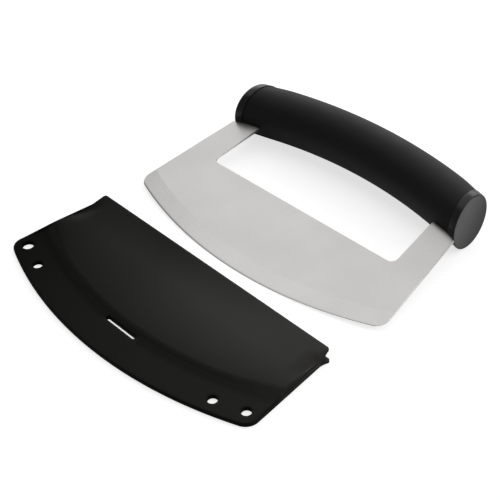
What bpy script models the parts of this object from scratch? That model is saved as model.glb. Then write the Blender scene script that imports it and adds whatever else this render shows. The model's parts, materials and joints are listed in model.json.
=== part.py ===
"""A single-blade mezzaluna lying on its side, with its blade guard taken off beside it.

Units are metres, +Z is up. The tool is modelled in a frame of its own: X runs along the handle,
-Y from the handle towards the cutting edge, Z square to the blade. Its origin lies on the handle's
axis, midway between the handle's ends. The guard has a frame of its own as well: X along its mouth,
-Y from the mouth towards its curved edge, Z up from the surface that it lies on.
"""

import math

import bmesh
import bpy
from mathutils import Matrix, Vector

MM = 0.001

# Gap between pieces that touch on the real object
SEAT_GAP = 0.3 * MM

# Blade: one plate, with two arms that end in tangs
BLADE_THICKNESS = 1.5 * MM
BLADE_DEPTH = 97.5 * MM
BLADE_FLARE = 11.3 * MM
BLADE_CORNER_ROUND = 7.0 * MM
EDGE_RADIUS = 249.0 * MM
EDGE_THICKNESS = 0.3 * MM
GRIND_WIDTH = 10.0 * MM
ARM_INSET = 0.5 * MM
ARM_WIDTH = 15.9 * MM
WINDOW_FLARE = 3.8 * MM
WINDOW_FLOOR_DEPTH = 46.0 * MM
WINDOW_CORNER_ROUND = 3.8 * MM
TANG_WIDTH = 10.4 * MM
TANG_REACH = 8.8 * MM
SHOULDER_DEPTH = 1.2 * MM
SHOULDER_REVEAL = 1.0 * MM
SHOULDER_RAMP = 0.6 * MM

# Handle: a bowed core in two halves, a soft sleeve round it and a cap at each end
HANDLE_ARC_RADIUS = 299.0 * MM
HANDLE_HALF_SPAN = 79.2 * MM
GRIP_RADIUS = 14.85 * MM
GRIP_WALL = 2.2 * MM
GRIP_END_BLEND = 14.0 * MM
GRIP_END_ROUND = 0.5 * MM
CORE_WALL = 2.6 * MM
CORE_END_BLOCK = 26.0 * MM
CAP_RADIUS = 15.25 * MM
CAP_LEAN = math.radians(4.6)
CAP_BAND = 4.3 * MM
CAP_RIM_ROUND = 0.5 * MM
CAP_NECK_RADIUS = 14.6 * MM
CAP_NECK_LENGTH = 0.2 * MM
CAP_PEG_RADIUS = 2.0 * MM
CAP_PEG_LENGTH = 9.0 * MM
CAP_PEG_OFFSET = 6.5 * MM

# Pins through the tangs, and screws that hold the core halves together
PIN_RADIUS = 1.5 * MM
PIN_SPACING = 11.0 * MM
PIN_LENGTH = 16.0 * MM
PIN_CHAMFER = 0.3 * MM
SCREW_SHANK_RADIUS = 1.4 * MM
SCREW_SHANK_LENGTH = 15.0 * MM
SCREW_HEAD_RADIUS = 2.8 * MM
SCREW_HEAD_HEIGHT = 1.6 * MM
SCREW_SOCKET_RADIUS = 1.3 * MM
SCREW_SOCKET_DEPTH = 0.9 * MM
SCREW_SEAT_HEIGHT = 8.0 * MM
SCREW_INSET = 36.0 * MM
SCREW_BOSS_RADIUS = 4.2 * MM

# Guard: two plates, joined along the flange and down the sides, and open at the mouth
GUARD_STANDOFF = 10.6 * MM
GUARD_SHIFT = -4.0 * MM
GUARD_YAW = math.radians(-1.7)
GUARD_PLATE = 1.1 * MM
GUARD_PLAY = 0.3 * MM
GUARD_OVERLAP = 7.6 * MM
GUARD_CORNER_COVER = 4.2 * MM
GUARD_CORNER_ROUND = 7.5 * MM
GUARD_THROAT_COVER = 2.0 * MM
GUARD_THROAT_DEPTH = 8.5 * MM
GUARD_SIDE_COVER = 2.2 * MM
GUARD_WALL_SETBACK = 6.5 * MM
GUARD_LOWER_SETBACK = 2.0 * MM
GUARD_EDGE_TIGHTER = 6.0 * MM
GUARD_EAR_FLARE = 1.0 * MM
GUARD_EAR_ROUND = 1.8 * MM
GUARD_FLANGE_WIDTH = 18.8 * MM
GUARD_FOLD_RUN = 3.0 * MM
GUARD_SIDE_FOLD_RUN = 8.0 * MM
GUARD_EVEN_FOLD_HALF = 55.0 * MM
GUARD_LIP_LENGTH = 9.0 * MM
GUARD_LIP_RISE = 1.6 * MM
HANG_HOLE_RADIUS = 3.1 * MM
PLAIN_HOLE_RADIUS = 2.6 * MM
HOLE_MARGIN = 7.8 * MM
HOLE_INSET = 8.1 * MM
HOLE_SPACING = 16.9 * MM
SLOT_LENGTH = 22.3 * MM
SLOT_WIDTH = 2.0 * MM

# Facets
GRIP_SIDES = 32
BORE_SIDES = 24
HALF_SIDES = 12
GRIP_STATIONS = 18
CORE_STATIONS = 12
CAP_SIDES = 40
SOCKET_SIDES = 6
ROUND_STEPS = 4
CORNER_STEPS = 6
EDGE_STEPS = 20
GRIND_STEPS = 180
SMALL_SIDES = 16
HOLE_SIDES = 24
SHEET_COLUMNS = 25
LIP_ROWS = 4

# Steps that find where a curve meets the guard's side, and how far the side wall runs down the fold
SIDE_ROUNDS = 20
WALL_END_SHARE = 0.9

# How far a cutter reaches past what it cuts
OVERCUT = 3.0 * MM

# Sizes that follow from those above
CORE_RADIUS = GRIP_RADIUS - GRIP_WALL - SEAT_GAP
GRIP_HALF_SPAN = HANDLE_HALF_SPAN - CAP_BAND - CAP_NECK_LENGTH - SEAT_GAP
CAVITY_HALF_SPAN = GRIP_HALF_SPAN - CORE_END_BLOCK
SCREW_SPACING = GRIP_HALF_SPAN - SCREW_INSET
ARM_ROOT_HALF = HANDLE_HALF_SPAN - ARM_INSET
BLADE_CORNER_HALF = ARM_ROOT_HALF + BLADE_FLARE
WINDOW_ROOT_HALF = ARM_ROOT_HALF - ARM_WIDTH
WINDOW_FLOOR_HALF = WINDOW_ROOT_HALF + WINDOW_FLARE
EDGE_CENTRE_Y = EDGE_RADIUS - BLADE_DEPTH
GUARD_POCKET_DEPTH = BLADE_DEPTH - WINDOW_FLOOR_DEPTH + GUARD_OVERLAP
GUARD_POCKET_RISE = BLADE_THICKNESS + GUARD_PLAY
GUARD_EDGE_RADIUS = EDGE_RADIUS - GUARD_EDGE_TIGHTER
GUARD_FLANGE_TOP = GUARD_PLATE + SEAT_GAP
GUARD_POCKET_TOP = GUARD_FLANGE_TOP + GUARD_POCKET_RISE
GUARD_CENTRE_Y = GUARD_EDGE_RADIUS - GUARD_POCKET_DEPTH - GUARD_FLANGE_WIDTH
GUARD_CORNER_HALF = BLADE_CORNER_HALF + GUARD_CORNER_COVER
GUARD_CUT_HEIGHT = 2 * GUARD_PLATE + GUARD_POCKET_RISE + GUARD_LIP_RISE + OVERCUT
FOLD_RADIUS = GUARD_EDGE_RADIUS - GUARD_FLANGE_WIDTH


def new_collection(name):
    collection = bpy.data.collections.new(name)
    bpy.context.scene.collection.children.link(collection)
    return collection


def new_material(name, colour, roughness, metallic):
    material = bpy.data.materials.new(name)
    material.use_nodes = True
    shader = material.node_tree.nodes["Principled BSDF"]
    shader.inputs["Base Color"].default_value = (*colour, 1.0)
    shader.inputs["Roughness"].default_value = roughness
    shader.inputs["Metallic"].default_value = metallic
    return material


def add_object(name, mesh, frame, material=None):
    """A part where a material is given, and otherwise a cutter."""
    thing = bpy.data.objects.new(name, mesh)
    thing.parent = frame
    if material:
        mesh.materials.append(material)
        parts.objects.link(thing)
    else:
        cutters.objects.link(thing)
        thing.hide_render = True
        thing.display_type = "WIRE"
    return thing


def mesh_from(bm, name):
    bmesh.ops.recalc_face_normals(bm, faces=bm.faces)
    mesh = bpy.data.meshes.new(name)
    bm.to_mesh(mesh)
    bm.free()
    return mesh


def add_frame(name, parent=None):
    frame = bpy.data.objects.new(name, None)
    frame.parent = parent
    parts.objects.link(frame)
    return frame


def boolean(thing, operation, other):
    modifier = thing.modifiers.new(other.name, "BOOLEAN")
    modifier.operation = operation
    modifier.object = other


def shade_round(thing, angle=math.radians(35)):
    thing.data.shade_smooth()
    thing.data.set_sharp_from_angle(angle=angle)


def flat_plate(name, outline, thickness, middle, frame, material=None):
    """A plate of the given outline, centred on the height given as middle."""
    curve = bpy.data.curves.new(name, "CURVE")
    curve.dimensions = "2D"
    curve.fill_mode = "BOTH"
    curve.extrude = thickness / 2
    spline = curve.splines.new("POLY")
    spline.points.add(len(outline) - 1)
    for point, (x, y) in zip(spline.points, outline):
        point.co = (x, y, 0.0, 1.0)
    spline.use_cyclic_u = True
    guide = bpy.data.objects.new(name + "_outline", curve)
    cutters.objects.link(guide)
    graph = bpy.context.evaluated_depsgraph_get()
    flat = bpy.data.meshes.new_from_object(guide.evaluated_get(graph))
    bpy.data.objects.remove(guide)
    bm = bmesh.new()
    bm.from_mesh(flat)
    bpy.data.meshes.remove(flat)
    bmesh.ops.remove_doubles(bm, verts=bm.verts, dist=0.001 * MM)
    bmesh.ops.translate(bm, verts=bm.verts, vec=(0.0, 0.0, middle))
    return add_object(name, mesh_from(bm, name), frame, material)


def add_cylinder(bm, radius, start, end, sides=SMALL_SIDES):
    """Adds a capped cylinder between two points."""
    along = Vector(end) - Vector(start)
    turn = Vector((0, 0, 1)).rotation_difference(along).to_matrix().to_4x4()
    middle = Matrix.Translation((Vector(start) + Vector(end)) / 2)
    bmesh.ops.create_cone(
        bm, cap_ends=True, segments=sides, radius1=radius, radius2=radius,
        depth=along.length, matrix=middle @ turn,
    )


def turned(name, profile, sides, frame, material=None):
    """A solid turned about Z from (radius, height) points that run down its outer side."""
    bm = bmesh.new()
    corners = [bm.verts.new((radius, 0.0, height)) for radius, height in profile]
    for above, below in zip(corners, corners[1:]):
        bm.edges.new((above, below))
    if profile[0][0] > 0:
        bm.edges.new((corners[-1], corners[0]))
    mesh = bpy.data.meshes.new(name)
    bm.to_mesh(mesh)
    bm.free()
    thing = add_object(name, mesh, frame, material)
    screw = thing.modifiers.new("turn", "SCREW")
    screw.steps = sides
    screw.render_steps = sides
    screw.use_merge_vertices = True
    screw.merge_threshold = 0.01 * MM
    screw.use_smooth_shade = False
    return thing


def loft(name, rings, frame, material=None):
    """A solid through rings that have equally many points, closed by a flat face at each end."""
    bm = bmesh.new()
    rows = [[bm.verts.new(point) for point in ring] for ring in rings]
    for row, following in zip(rows, rows[1:]):
        for here in range(len(row)):
            beside = (here + 1) % len(row)
            bm.faces.new((row[here], row[beside], following[beside], following[here]))
    bm.faces.new(rows[0])
    bm.faces.new(rows[-1])
    return add_object(name, mesh_from(bm, name), frame, material)


def arc(centre, radius, start, end, steps):
    """Points along an arc, with its angles in radians counted from +X."""
    angles = [start + (end - start) * step / steps for step in range(steps + 1)]
    return [
        (centre[0] + radius * math.cos(angle), centre[1] + radius * math.sin(angle))
        for angle in angles
    ]


def angle_to(centre, point):
    return math.atan2(point[1] - centre[1], point[0] - centre[0])


def outer_corner(corner, upper, arc_centre_y, arc_radius, rounding):
    """The rounded corner between a curved edge about (0, arc_centre_y) and the side that runs from
    corner to upper: the angle on the curved edge where the rounding starts, and its points."""
    side = Vector((upper[0] - corner[0], upper[1] - corner[1])).normalized()
    inward = Vector((-side.y, side.x))
    base = Vector(corner) + inward * rounding - Vector((0.0, arc_centre_y))
    reach = arc_radius - rounding
    along = base.dot(side)
    run = -along + math.sqrt(along * along - base.length_squared + reach * reach)
    run_other = -along - math.sqrt(along * along - base.length_squared + reach * reach)
    run = min(run, run_other, key=abs)
    middle = Vector((0.0, arc_centre_y)) + base + side * run
    start = angle_to((0.0, arc_centre_y), middle)
    end = math.atan2(-inward.y, -inward.x)
    return start, arc(middle, rounding, start, end, CORNER_STEPS)


def inner_corner(before, corner, after, rounding):
    """Points that round the corner between two straight lines."""
    towards = (Vector(before) - Vector(corner)).normalized()
    onwards = (Vector(after) - Vector(corner)).normalized()
    half = towards.angle(onwards) / 2
    middle = Vector(corner) + (towards + onwards).normalized() * rounding / math.sin(half)
    start = Vector(corner) + towards * rounding / math.tan(half)
    end = Vector(corner) + onwards * rounding / math.tan(half)
    first = angle_to(middle, start)
    turn = (angle_to(middle, end) - first + math.pi) % (2 * math.pi) - math.pi
    return arc(middle, rounding, first, first + turn, CORNER_STEPS)


def crossing(first, second, third, fourth):
    """Where the line through the first two points meets the line through the other two."""
    one = Vector(second) - Vector(first)
    two = Vector(fourth) - Vector(third)
    gap = Vector(third) - Vector(first)
    share = (gap.x * two.y - gap.y * two.x) / (one.x * two.y - one.y * two.x)
    return Vector(first) + one * share


def both_halves(right):
    """A closed outline from its right half, which runs from X = 0 to X = 0."""
    left = [(-x, y) for x, y in reversed(right[1:-1])]
    return right + left


def axis_rise(x):
    """How far the handle's bowed axis lies from the chord through its two ends, away from the blade."""
    chord = math.sqrt(HANDLE_ARC_RADIUS**2 - HANDLE_HALF_SPAN**2)
    return math.sqrt(HANDLE_ARC_RADIUS**2 - x * x) - chord


def handle_ring(x, radius, angles):
    """Points round the handle's axis at x. The angles start at the back of the handle, in the blade's
    plane. The handle is round, but its end sections are round in the plane of the leaning caps."""
    lean = CAP_LEAN * x / HANDLE_HALF_SPAN
    slope = math.asin(x / HANDLE_ARC_RADIUS)
    share = (abs(x) - GRIP_HALF_SPAN + GRIP_END_BLEND) / GRIP_END_BLEND
    share = min(max(share, 0.0), 1.0)
    blend = share * share * (3 - 2 * share)
    depth = radius * (blend + (1 - blend) / math.cos(lean + slope))
    points = []
    for angle in angles:
        across = depth * math.cos(angle)
        height = radius * math.sin(angle)
        points.append((x - across * math.sin(lean), axis_rise(x) + across * math.cos(lean), height))
    return points


def full_turn(sides):
    return [2 * math.pi * side / sides for side in range(sides)]


def stations(half_span, count):
    return [half_span * (2 * station / count - 1) for station in range(count + 1)]


def handle_side(x, across):
    """A point in the blade's plane on the blade's side of the handle, in its section at x and the
    distance across from its axis."""
    lean = CAP_LEAN * x / HANDLE_HALF_SPAN
    return Vector((x + across * math.sin(lean), axis_rise(x) - across * math.cos(lean)))


def blade_corner_y():
    return EDGE_CENTRE_Y - math.sqrt(EDGE_RADIUS**2 - BLADE_CORNER_HALF**2)


def window_side(across):
    """Two points on the window's straight side, moved outwards by the distance across."""
    side = Vector((WINDOW_FLOOR_HALF - WINDOW_ROOT_HALF, -WINDOW_FLOOR_DEPTH)).normalized()
    outwards = Vector((-side.y, side.x)) * across
    root = Vector((WINDOW_ROOT_HALF, 0.0))
    floor = Vector((WINDOW_FLOOR_HALF, -WINDOW_FLOOR_DEPTH))
    return root + outwards, floor + outwards


def tang_middle(across):
    """A point on the right tang's own middle line, the distance across past the handle's axis."""
    root, floor = window_side(TANG_WIDTH / 2)
    level = axis_rise(root.x) + across
    return crossing(root, floor, (0.0, level), (1.0, level))


def tang_outline(clearance, lower):
    """The right tang's four corners, grown by a clearance and cut off at the height given as lower."""
    top = tang_middle(TANG_REACH).y + clearance
    inner_root, inner_floor = window_side(-clearance)
    outer_root, outer_floor = window_side(TANG_WIDTH + clearance)
    corners = []
    for root, floor, level in (
        (inner_root, inner_floor, lower),
        (outer_root, outer_floor, lower),
        (outer_root, outer_floor, top),
        (inner_root, inner_floor, top),
    ):
        corners.append(tuple(crossing(root, floor, (0.0, level), (1.0, level))))
    return corners


def shoulder_points(clearance):
    """The right arm's shoulder, grown by a clearance: the point beside the cap where it starts to dip
    into the handle, the point where it has dipped, and the one where it meets the tang."""
    start = HANDLE_HALF_SPAN - SHOULDER_REVEAL + clearance
    deep = CAP_RADIUS - SHOULDER_DEPTH - clearance
    outside = handle_side(start, CAP_RADIUS + SEAT_GAP)
    inside = handle_side(start - SHOULDER_RAMP, deep)
    armpit = crossing(*window_side(TANG_WIDTH + clearance), inside, handle_side(GRIP_HALF_SPAN, deep))
    return [tuple(outside), tuple(inside), tuple(armpit)]


def slot_outline():
    """The right arm's slot in the handle, round the tang and the shoulder and open to the blade."""
    tang = tang_outline(SEAT_GAP, -GRIP_RADIUS - OVERCUT)
    shoulder = shoulder_points(SEAT_GAP)
    start = HANDLE_HALF_SPAN - SHOULDER_REVEAL + SEAT_GAP
    mouth = handle_side(start, CAP_RADIUS + OVERCUT)
    return [tang[0], tuple(mouth)] + shoulder + [tang[2], tang[3]]


def blade_outline():
    corner = (BLADE_CORNER_HALF, blade_corner_y())
    upper = (ARM_ROOT_HALF, 0.0)
    start, rounding = outer_corner(corner, upper, EDGE_CENTRE_Y, EDGE_RADIUS, BLADE_CORNER_ROUND)
    edge = arc((0.0, EDGE_CENTRE_Y), EDGE_RADIUS, -math.pi / 2, start, EDGE_STEPS)
    shoulder = shoulder_points(0.0)
    rim = handle_side(HANDLE_HALF_SPAN, CAP_RADIUS + SEAT_GAP)
    top = crossing(corner, upper, rim, shoulder[0])
    tang = tang_outline(0.0, 0.0)
    floor_corner = (WINDOW_FLOOR_HALF, -WINDOW_FLOOR_DEPTH)
    window = inner_corner(tang[3], floor_corner, (0.0, -WINDOW_FLOOR_DEPTH), WINDOW_CORNER_ROUND)
    right = edge[:-1] + rounding + [tuple(top)] + shoulder + [tang[2], tang[3]]
    return both_halves(right + window + [(0.0, -WINDOW_FLOOR_DEPTH)])


def grind_cutter(name, face, frame):
    """The ring that grinds one face of the blade, +1 for the upper one, down towards the edge."""
    slope = (BLADE_THICKNESS - EDGE_THICKNESS) / 2 / GRIND_WIDTH
    inner = EDGE_RADIUS - GRIND_WIDTH - OVERCUT
    outer = EDGE_RADIUS + EDGE_THICKNESS
    inner_height = BLADE_THICKNESS / 2 + OVERCUT * slope
    outer_height = EDGE_THICKNESS / 2 - EDGE_THICKNESS * slope
    clear = BLADE_THICKNESS + OVERCUT
    profile = [(outer, clear), (outer, outer_height), (inner, inner_height), (inner, clear)]
    if face < 0:
        profile = [(radius, -height) for radius, height in reversed(profile)]
        profile = profile[2:] + profile[:2]
    ring = turned(name, profile, GRIND_STEPS, frame)
    ring.location = (0.0, EDGE_CENTRE_Y, 0.0)
    return ring


def pin_places():
    """Each tang pin's name and its place in the blade's plane."""
    places = []
    for side, sign in (("left", -1), ("right", 1)):
        for row, across in (("front", -PIN_SPACING / 2), ("back", PIN_SPACING / 2)):
            x, y = tang_middle(across)
            places.append((f"{side}_{row}_tang_pin", (sign * x, y)))
    return places


def screw_places():
    names = ("left_core_screw", "middle_core_screw", "right_core_screw")
    return [
        (name, (place * SCREW_SPACING, axis_rise(place * SCREW_SPACING)))
        for name, place in zip(names, (-1, 0, 1))
    ]


def make_blade(frame, steel):
    blade = flat_plate("blade", blade_outline(), BLADE_THICKNESS, 0.0, frame, steel)
    boolean(blade, "DIFFERENCE", grind_cutter("upper_grind", 1, frame))
    boolean(blade, "DIFFERENCE", grind_cutter("lower_grind", -1, frame))
    bm = bmesh.new()
    for _, (x, y) in pin_places():
        add_cylinder(bm, PIN_RADIUS + SEAT_GAP, (x, y, -OVERCUT), (x, y, OVERCUT))
    boolean(blade, "DIFFERENCE", add_object("tang_holes", mesh_from(bm, "tang_holes"), frame))


def make_tang_slots(frame):
    """The spaces that the left and the right arm take up in the handle."""
    slots = []
    for name, sign in (("left_tang_slot", -1), ("right_tang_slot", 1)):
        outline = [(sign * x, y) for x, y in slot_outline()]
        slots.append(flat_plate(name, outline, BLADE_THICKNESS + 2 * SEAT_GAP, 0.0, frame))
    return slots


def make_sleeve(frame, slots, soft):
    turn = full_turn(GRIP_SIDES)
    rings = []
    for x in stations(GRIP_HALF_SPAN - GRIP_END_ROUND, GRIP_STATIONS):
        rings.append(handle_ring(x, GRIP_RADIUS, turn))
    rings.insert(0, handle_ring(-GRIP_HALF_SPAN, GRIP_RADIUS - GRIP_END_ROUND, turn))
    rings.append(handle_ring(GRIP_HALF_SPAN, GRIP_RADIUS - GRIP_END_ROUND, turn))
    sleeve = loft("grip_sleeve", rings, frame, soft)
    shade_round(sleeve)
    turn = full_turn(BORE_SIDES)
    bore = [
        handle_ring(x, CORE_RADIUS + SEAT_GAP, turn)
        for x in stations(GRIP_HALF_SPAN + OVERCUT, GRIP_STATIONS)
    ]
    boolean(sleeve, "DIFFERENCE", loft("sleeve_bore", bore, frame))
    for slot in slots:
        boolean(sleeve, "DIFFERENCE", slot)


def half_ring(x, radius, face, split):
    """The half of a handle section on one side of the blade's plane, flat at the height split."""
    start = math.asin(split / radius)
    angles = [start + (math.pi - 2 * start) * side / HALF_SIDES for side in range(HALF_SIDES + 1)]
    return handle_ring(x, radius, [face * angle for angle in angles])


def make_screw_drills(frame):
    """The stepped holes of the screws, which sink each head into the upper core half."""
    drills = []
    for name, (x, y) in screw_places():
        tip = SCREW_SEAT_HEIGHT - SCREW_SHANK_LENGTH - SEAT_GAP
        top = CORE_RADIUS + OVERCUT
        profile = [
            (0.0, top),
            (SCREW_HEAD_RADIUS + SEAT_GAP, top),
            (SCREW_HEAD_RADIUS + SEAT_GAP, SCREW_SEAT_HEIGHT),
            (SCREW_SHANK_RADIUS + SEAT_GAP, SCREW_SEAT_HEIGHT),
            (SCREW_SHANK_RADIUS + SEAT_GAP, tip),
            (0.0, tip),
        ]
        drill = turned(name + "_drill", profile, HOLE_SIDES, frame)
        drill.location = (x, y, 0.0)
        drills.append(drill)
    return drills


def make_core_half(name, face, frame, slots, drills, plastic):
    split = SEAT_GAP / 2
    rings = [half_ring(x, CORE_RADIUS, face, split) for x in stations(GRIP_HALF_SPAN, CORE_STATIONS)]
    half = loft(name, rings, frame, plastic)
    shade_round(half)
    cavity = [
        half_ring(x, CORE_RADIUS - CORE_WALL, face, 0.0)
        for x in stations(CAVITY_HALF_SPAN, CORE_STATIONS)
    ]
    boolean(half, "DIFFERENCE", loft(name + "_cavity", cavity, frame))
    bosses = bmesh.new()
    holes = bmesh.new()
    for _, (x, y) in screw_places():
        wall = face * (CORE_RADIUS - CORE_WALL / 2)
        add_cylinder(bosses, SCREW_BOSS_RADIUS, (x, y, face * split), (x, y, wall), HOLE_SIDES)
    for _, (x, y) in pin_places():
        end = face * (PIN_LENGTH / 2 + SEAT_GAP)
        add_cylinder(holes, PIN_RADIUS + SEAT_GAP, (x, y, -face * OVERCUT), (x, y, end))
    for sign in (-1, 1):
        add_cylinder(holes, CAP_PEG_RADIUS + SEAT_GAP, *peg_ends(sign, face, SEAT_GAP, OVERCUT))
    boolean(half, "UNION", add_object(name + "_bosses", mesh_from(bosses, name), frame))
    boolean(half, "DIFFERENCE", add_object(name + "_holes", mesh_from(holes, name), frame))
    for cutter in slots + drills:
        boolean(half, "DIFFERENCE", cutter)


def peg_ends(sign, face, inner, outer):
    """The ends of a cap's peg, lengthened by the distances inner and outer."""
    tip = GRIP_HALF_SPAN - CAP_PEG_LENGTH - inner
    root = HANDLE_HALF_SPAN - CAP_BAND + outer
    y = axis_rise(GRIP_HALF_SPAN - CAP_PEG_LENGTH / 2)
    return (sign * tip, y, face * CAP_PEG_OFFSET), (sign * root, y, face * CAP_PEG_OFFSET)


def make_cap(name, sign, frame, slot, gloss):
    turn = full_turn(CAP_SIDES)
    inner = HANDLE_HALF_SPAN - CAP_BAND
    rings = [
        handle_ring(sign * (inner - CAP_NECK_LENGTH), CAP_NECK_RADIUS, turn),
        handle_ring(sign * inner, CAP_NECK_RADIUS, turn),
        handle_ring(sign * inner, CAP_RADIUS, turn),
    ]
    for step in range(ROUND_STEPS + 1):
        angle = math.pi / 2 * step / ROUND_STEPS
        back = CAP_RIM_ROUND * (1 - math.sin(angle))
        radius = CAP_RADIUS - CAP_RIM_ROUND * (1 - math.cos(angle))
        rings.append(handle_ring(sign * (HANDLE_HALF_SPAN - back), radius, turn))
    cap = loft(name, rings, frame, gloss)
    shade_round(cap)
    bm = bmesh.new()
    for face in (-1, 1):
        add_cylinder(bm, CAP_PEG_RADIUS, *peg_ends(sign, face, 0.0, CAP_BAND / 2))
    boolean(cap, "UNION", add_object(name + "_pegs", mesh_from(bm, name), frame))
    boolean(cap, "DIFFERENCE", slot)


def make_pin(name, place, frame, steel):
    top = PIN_LENGTH / 2
    profile = [
        (0.0, top),
        (PIN_RADIUS - PIN_CHAMFER, top),
        (PIN_RADIUS, top - PIN_CHAMFER),
        (PIN_RADIUS, PIN_CHAMFER - top),
        (PIN_RADIUS - PIN_CHAMFER, -top),
        (0.0, -top),
    ]
    pin = turned(name, profile, SMALL_SIDES, frame, steel)
    pin.location = (*place, 0.0)


def make_screw(name, place, frame, steel):
    """A socket-head screw whose head rests on the seat in the upper core half."""
    profile = [
        (0.0, SCREW_HEAD_HEIGHT),
        (SCREW_HEAD_RADIUS, SCREW_HEAD_HEIGHT),
        (SCREW_HEAD_RADIUS, 0.0),
        (SCREW_SHANK_RADIUS, 0.0),
        (SCREW_SHANK_RADIUS, SCREW_SHANK_RADIUS - SCREW_SHANK_LENGTH),
        (SCREW_SHANK_RADIUS / 2, -SCREW_SHANK_LENGTH),
        (0.0, -SCREW_SHANK_LENGTH),
    ]
    screw = turned(name, profile, SMALL_SIDES, frame, steel)
    screw.location = (*place, SCREW_SEAT_HEIGHT + SEAT_GAP)
    bm = bmesh.new()
    floor = (0.0, 0.0, SCREW_HEAD_HEIGHT - SCREW_SOCKET_DEPTH)
    clear = (0.0, 0.0, SCREW_HEAD_HEIGHT + OVERCUT)
    add_cylinder(bm, SCREW_SOCKET_RADIUS, floor, clear, SOCKET_SIDES)
    socket = add_object(name + "_socket", mesh_from(bm, name), frame)
    socket.location = screw.location
    boolean(screw, "DIFFERENCE", socket)


def guard_curve_y(x, radius):
    """The Y at x of a curve about the same centre as the guard's curved edge."""
    return GUARD_CENTRE_Y - math.sqrt(radius * radius - x * x)


def guard_throat_half():
    """Half the guard's width at the mouth, past the blade's sides there once the guard is on."""
    depth = BLADE_DEPTH - GUARD_POCKET_DEPTH
    lean = (BLADE_CORNER_HALF - ARM_ROOT_HALF) / -blade_corner_y()
    return ARM_ROOT_HALF + lean * depth + GUARD_THROAT_COVER


def guard_outline(lower):
    """A plate's outline, from the curved edge to the mouth. The lower plate's ears flare out, and it
    stops short of the mouth. The upper plate's sides run straight on into its narrower ears."""
    corner = (GUARD_CORNER_HALF, guard_curve_y(GUARD_CORNER_HALF, GUARD_EDGE_RADIUS))
    throat = (guard_throat_half() + GUARD_SIDE_COVER, -GUARD_THROAT_DEPTH)
    start, rounding = outer_corner(
        corner, throat, GUARD_CENTRE_Y, GUARD_EDGE_RADIUS, GUARD_CORNER_ROUND
    )
    edge = arc((0.0, GUARD_CENTRE_Y), GUARD_EDGE_RADIUS, -math.pi / 2, start, EDGE_STEPS)
    setback = GUARD_LOWER_SETBACK if lower else 0.0
    root = throat[0] if lower else guard_throat_half()
    ear = (root + GUARD_EAR_FLARE, -setback - GUARD_EAR_ROUND)
    side = [throat]
    if lower:
        for step in range(1, ROUND_STEPS):
            share = step / ROUND_STEPS
            y = throat[1] + (ear[1] - throat[1]) * share
            side.append((root + GUARD_EAR_FLARE * share * share, y))
    tip = arc((ear[0] - GUARD_EAR_ROUND, ear[1]), GUARD_EAR_ROUND, 0.0, math.pi / 2, CORNER_STEPS)
    return both_halves(edge[:-1] + rounding + side + tip + [(0.0, -setback)])


def guard_side_x(y):
    """The X of the guard's straight right side at y."""
    corner_y = guard_curve_y(GUARD_CORNER_HALF, GUARD_EDGE_RADIUS)
    throat = guard_throat_half() + GUARD_SIDE_COVER
    share = min((y - corner_y) / (-GUARD_THROAT_DEPTH - corner_y), 1.0)
    return GUARD_CORNER_HALF + (throat - GUARD_CORNER_HALF) * share


def guard_side_y(radius):
    """The Y at which a curve about the centre of the guard's curved edge meets the right side."""
    y = guard_curve_y(GUARD_CORNER_HALF, radius)
    for _ in range(SIDE_ROUNDS):
        y = guard_curve_y(guard_side_x(y), radius)
    return y


def make_guard_holes(frame):
    bm = bmesh.new()
    outer = GUARD_CORNER_HALF - HOLE_INSET
    inner = outer - HOLE_SPACING
    for x, radius in (
        (-outer, HANG_HOLE_RADIUS),
        (-inner, PLAIN_HOLE_RADIUS),
        (inner, PLAIN_HOLE_RADIUS),
        (outer, PLAIN_HOLE_RADIUS),
    ):
        y = guard_curve_y(x, GUARD_EDGE_RADIUS - HOLE_MARGIN)
        add_cylinder(bm, radius, (x, y, -OVERCUT), (x, y, GUARD_CUT_HEIGHT), HOLE_SIDES)
    holes = add_object("guard_holes", mesh_from(bm, "guard_holes"), frame)
    half = SLOT_LENGTH / 2 - SLOT_WIDTH / 2
    y = guard_curve_y(0.0, FOLD_RADIUS)
    outline = arc((half, y), SLOT_WIDTH / 2, -math.pi / 2, math.pi / 2, CORNER_STEPS)
    outline += arc((-half, y), SLOT_WIDTH / 2, math.pi / 2, 3 * math.pi / 2, CORNER_STEPS)
    slot = flat_plate("guard_slot", outline, 2 * GUARD_CUT_HEIGHT, 0.0, frame)
    return holes, slot


def lip_rise(y):
    """How far the upper plate is turned up at y, near the mouth."""
    share = max(1 + y / GUARD_LIP_LENGTH, 0.0)
    return GUARD_LIP_RISE * share * share


def fold_run(x):
    """How far the fold between pocket and flange runs at x. It is drawn out towards the sides."""
    share = (abs(x) - GUARD_EVEN_FOLD_HALF) / (GUARD_CORNER_HALF - GUARD_EVEN_FOLD_HALF)
    share = min(max(share, 0.0), 1.0)
    blend = share * share * (3 - 2 * share)
    return GUARD_FOLD_RUN + (GUARD_SIDE_FOLD_RUN - GUARD_FOLD_RUN) * blend


def upper_sheet_rows():
    """The upper plate's underside, row by row from the mouth to the curved edge. Each row is a function
    from x to y, with its height."""
    rows = [(lambda x: OVERCUT, GUARD_POCKET_TOP + GUARD_LIP_RISE)]
    for row in range(LIP_ROWS + 1):
        y = -GUARD_LIP_LENGTH * row / LIP_ROWS
        rows.append((lambda x, y=y: y, GUARD_POCKET_TOP + lip_rise(y)))
    rows.append((lambda x: guard_curve_y(x, FOLD_RADIUS - fold_run(x)), GUARD_POCKET_TOP))
    rows.append((lambda x: guard_curve_y(x, FOLD_RADIUS), GUARD_FLANGE_TOP))
    rows.append((lambda x: guard_curve_y(x, GUARD_EDGE_RADIUS + OVERCUT), GUARD_FLANGE_TOP))
    return rows


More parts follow.
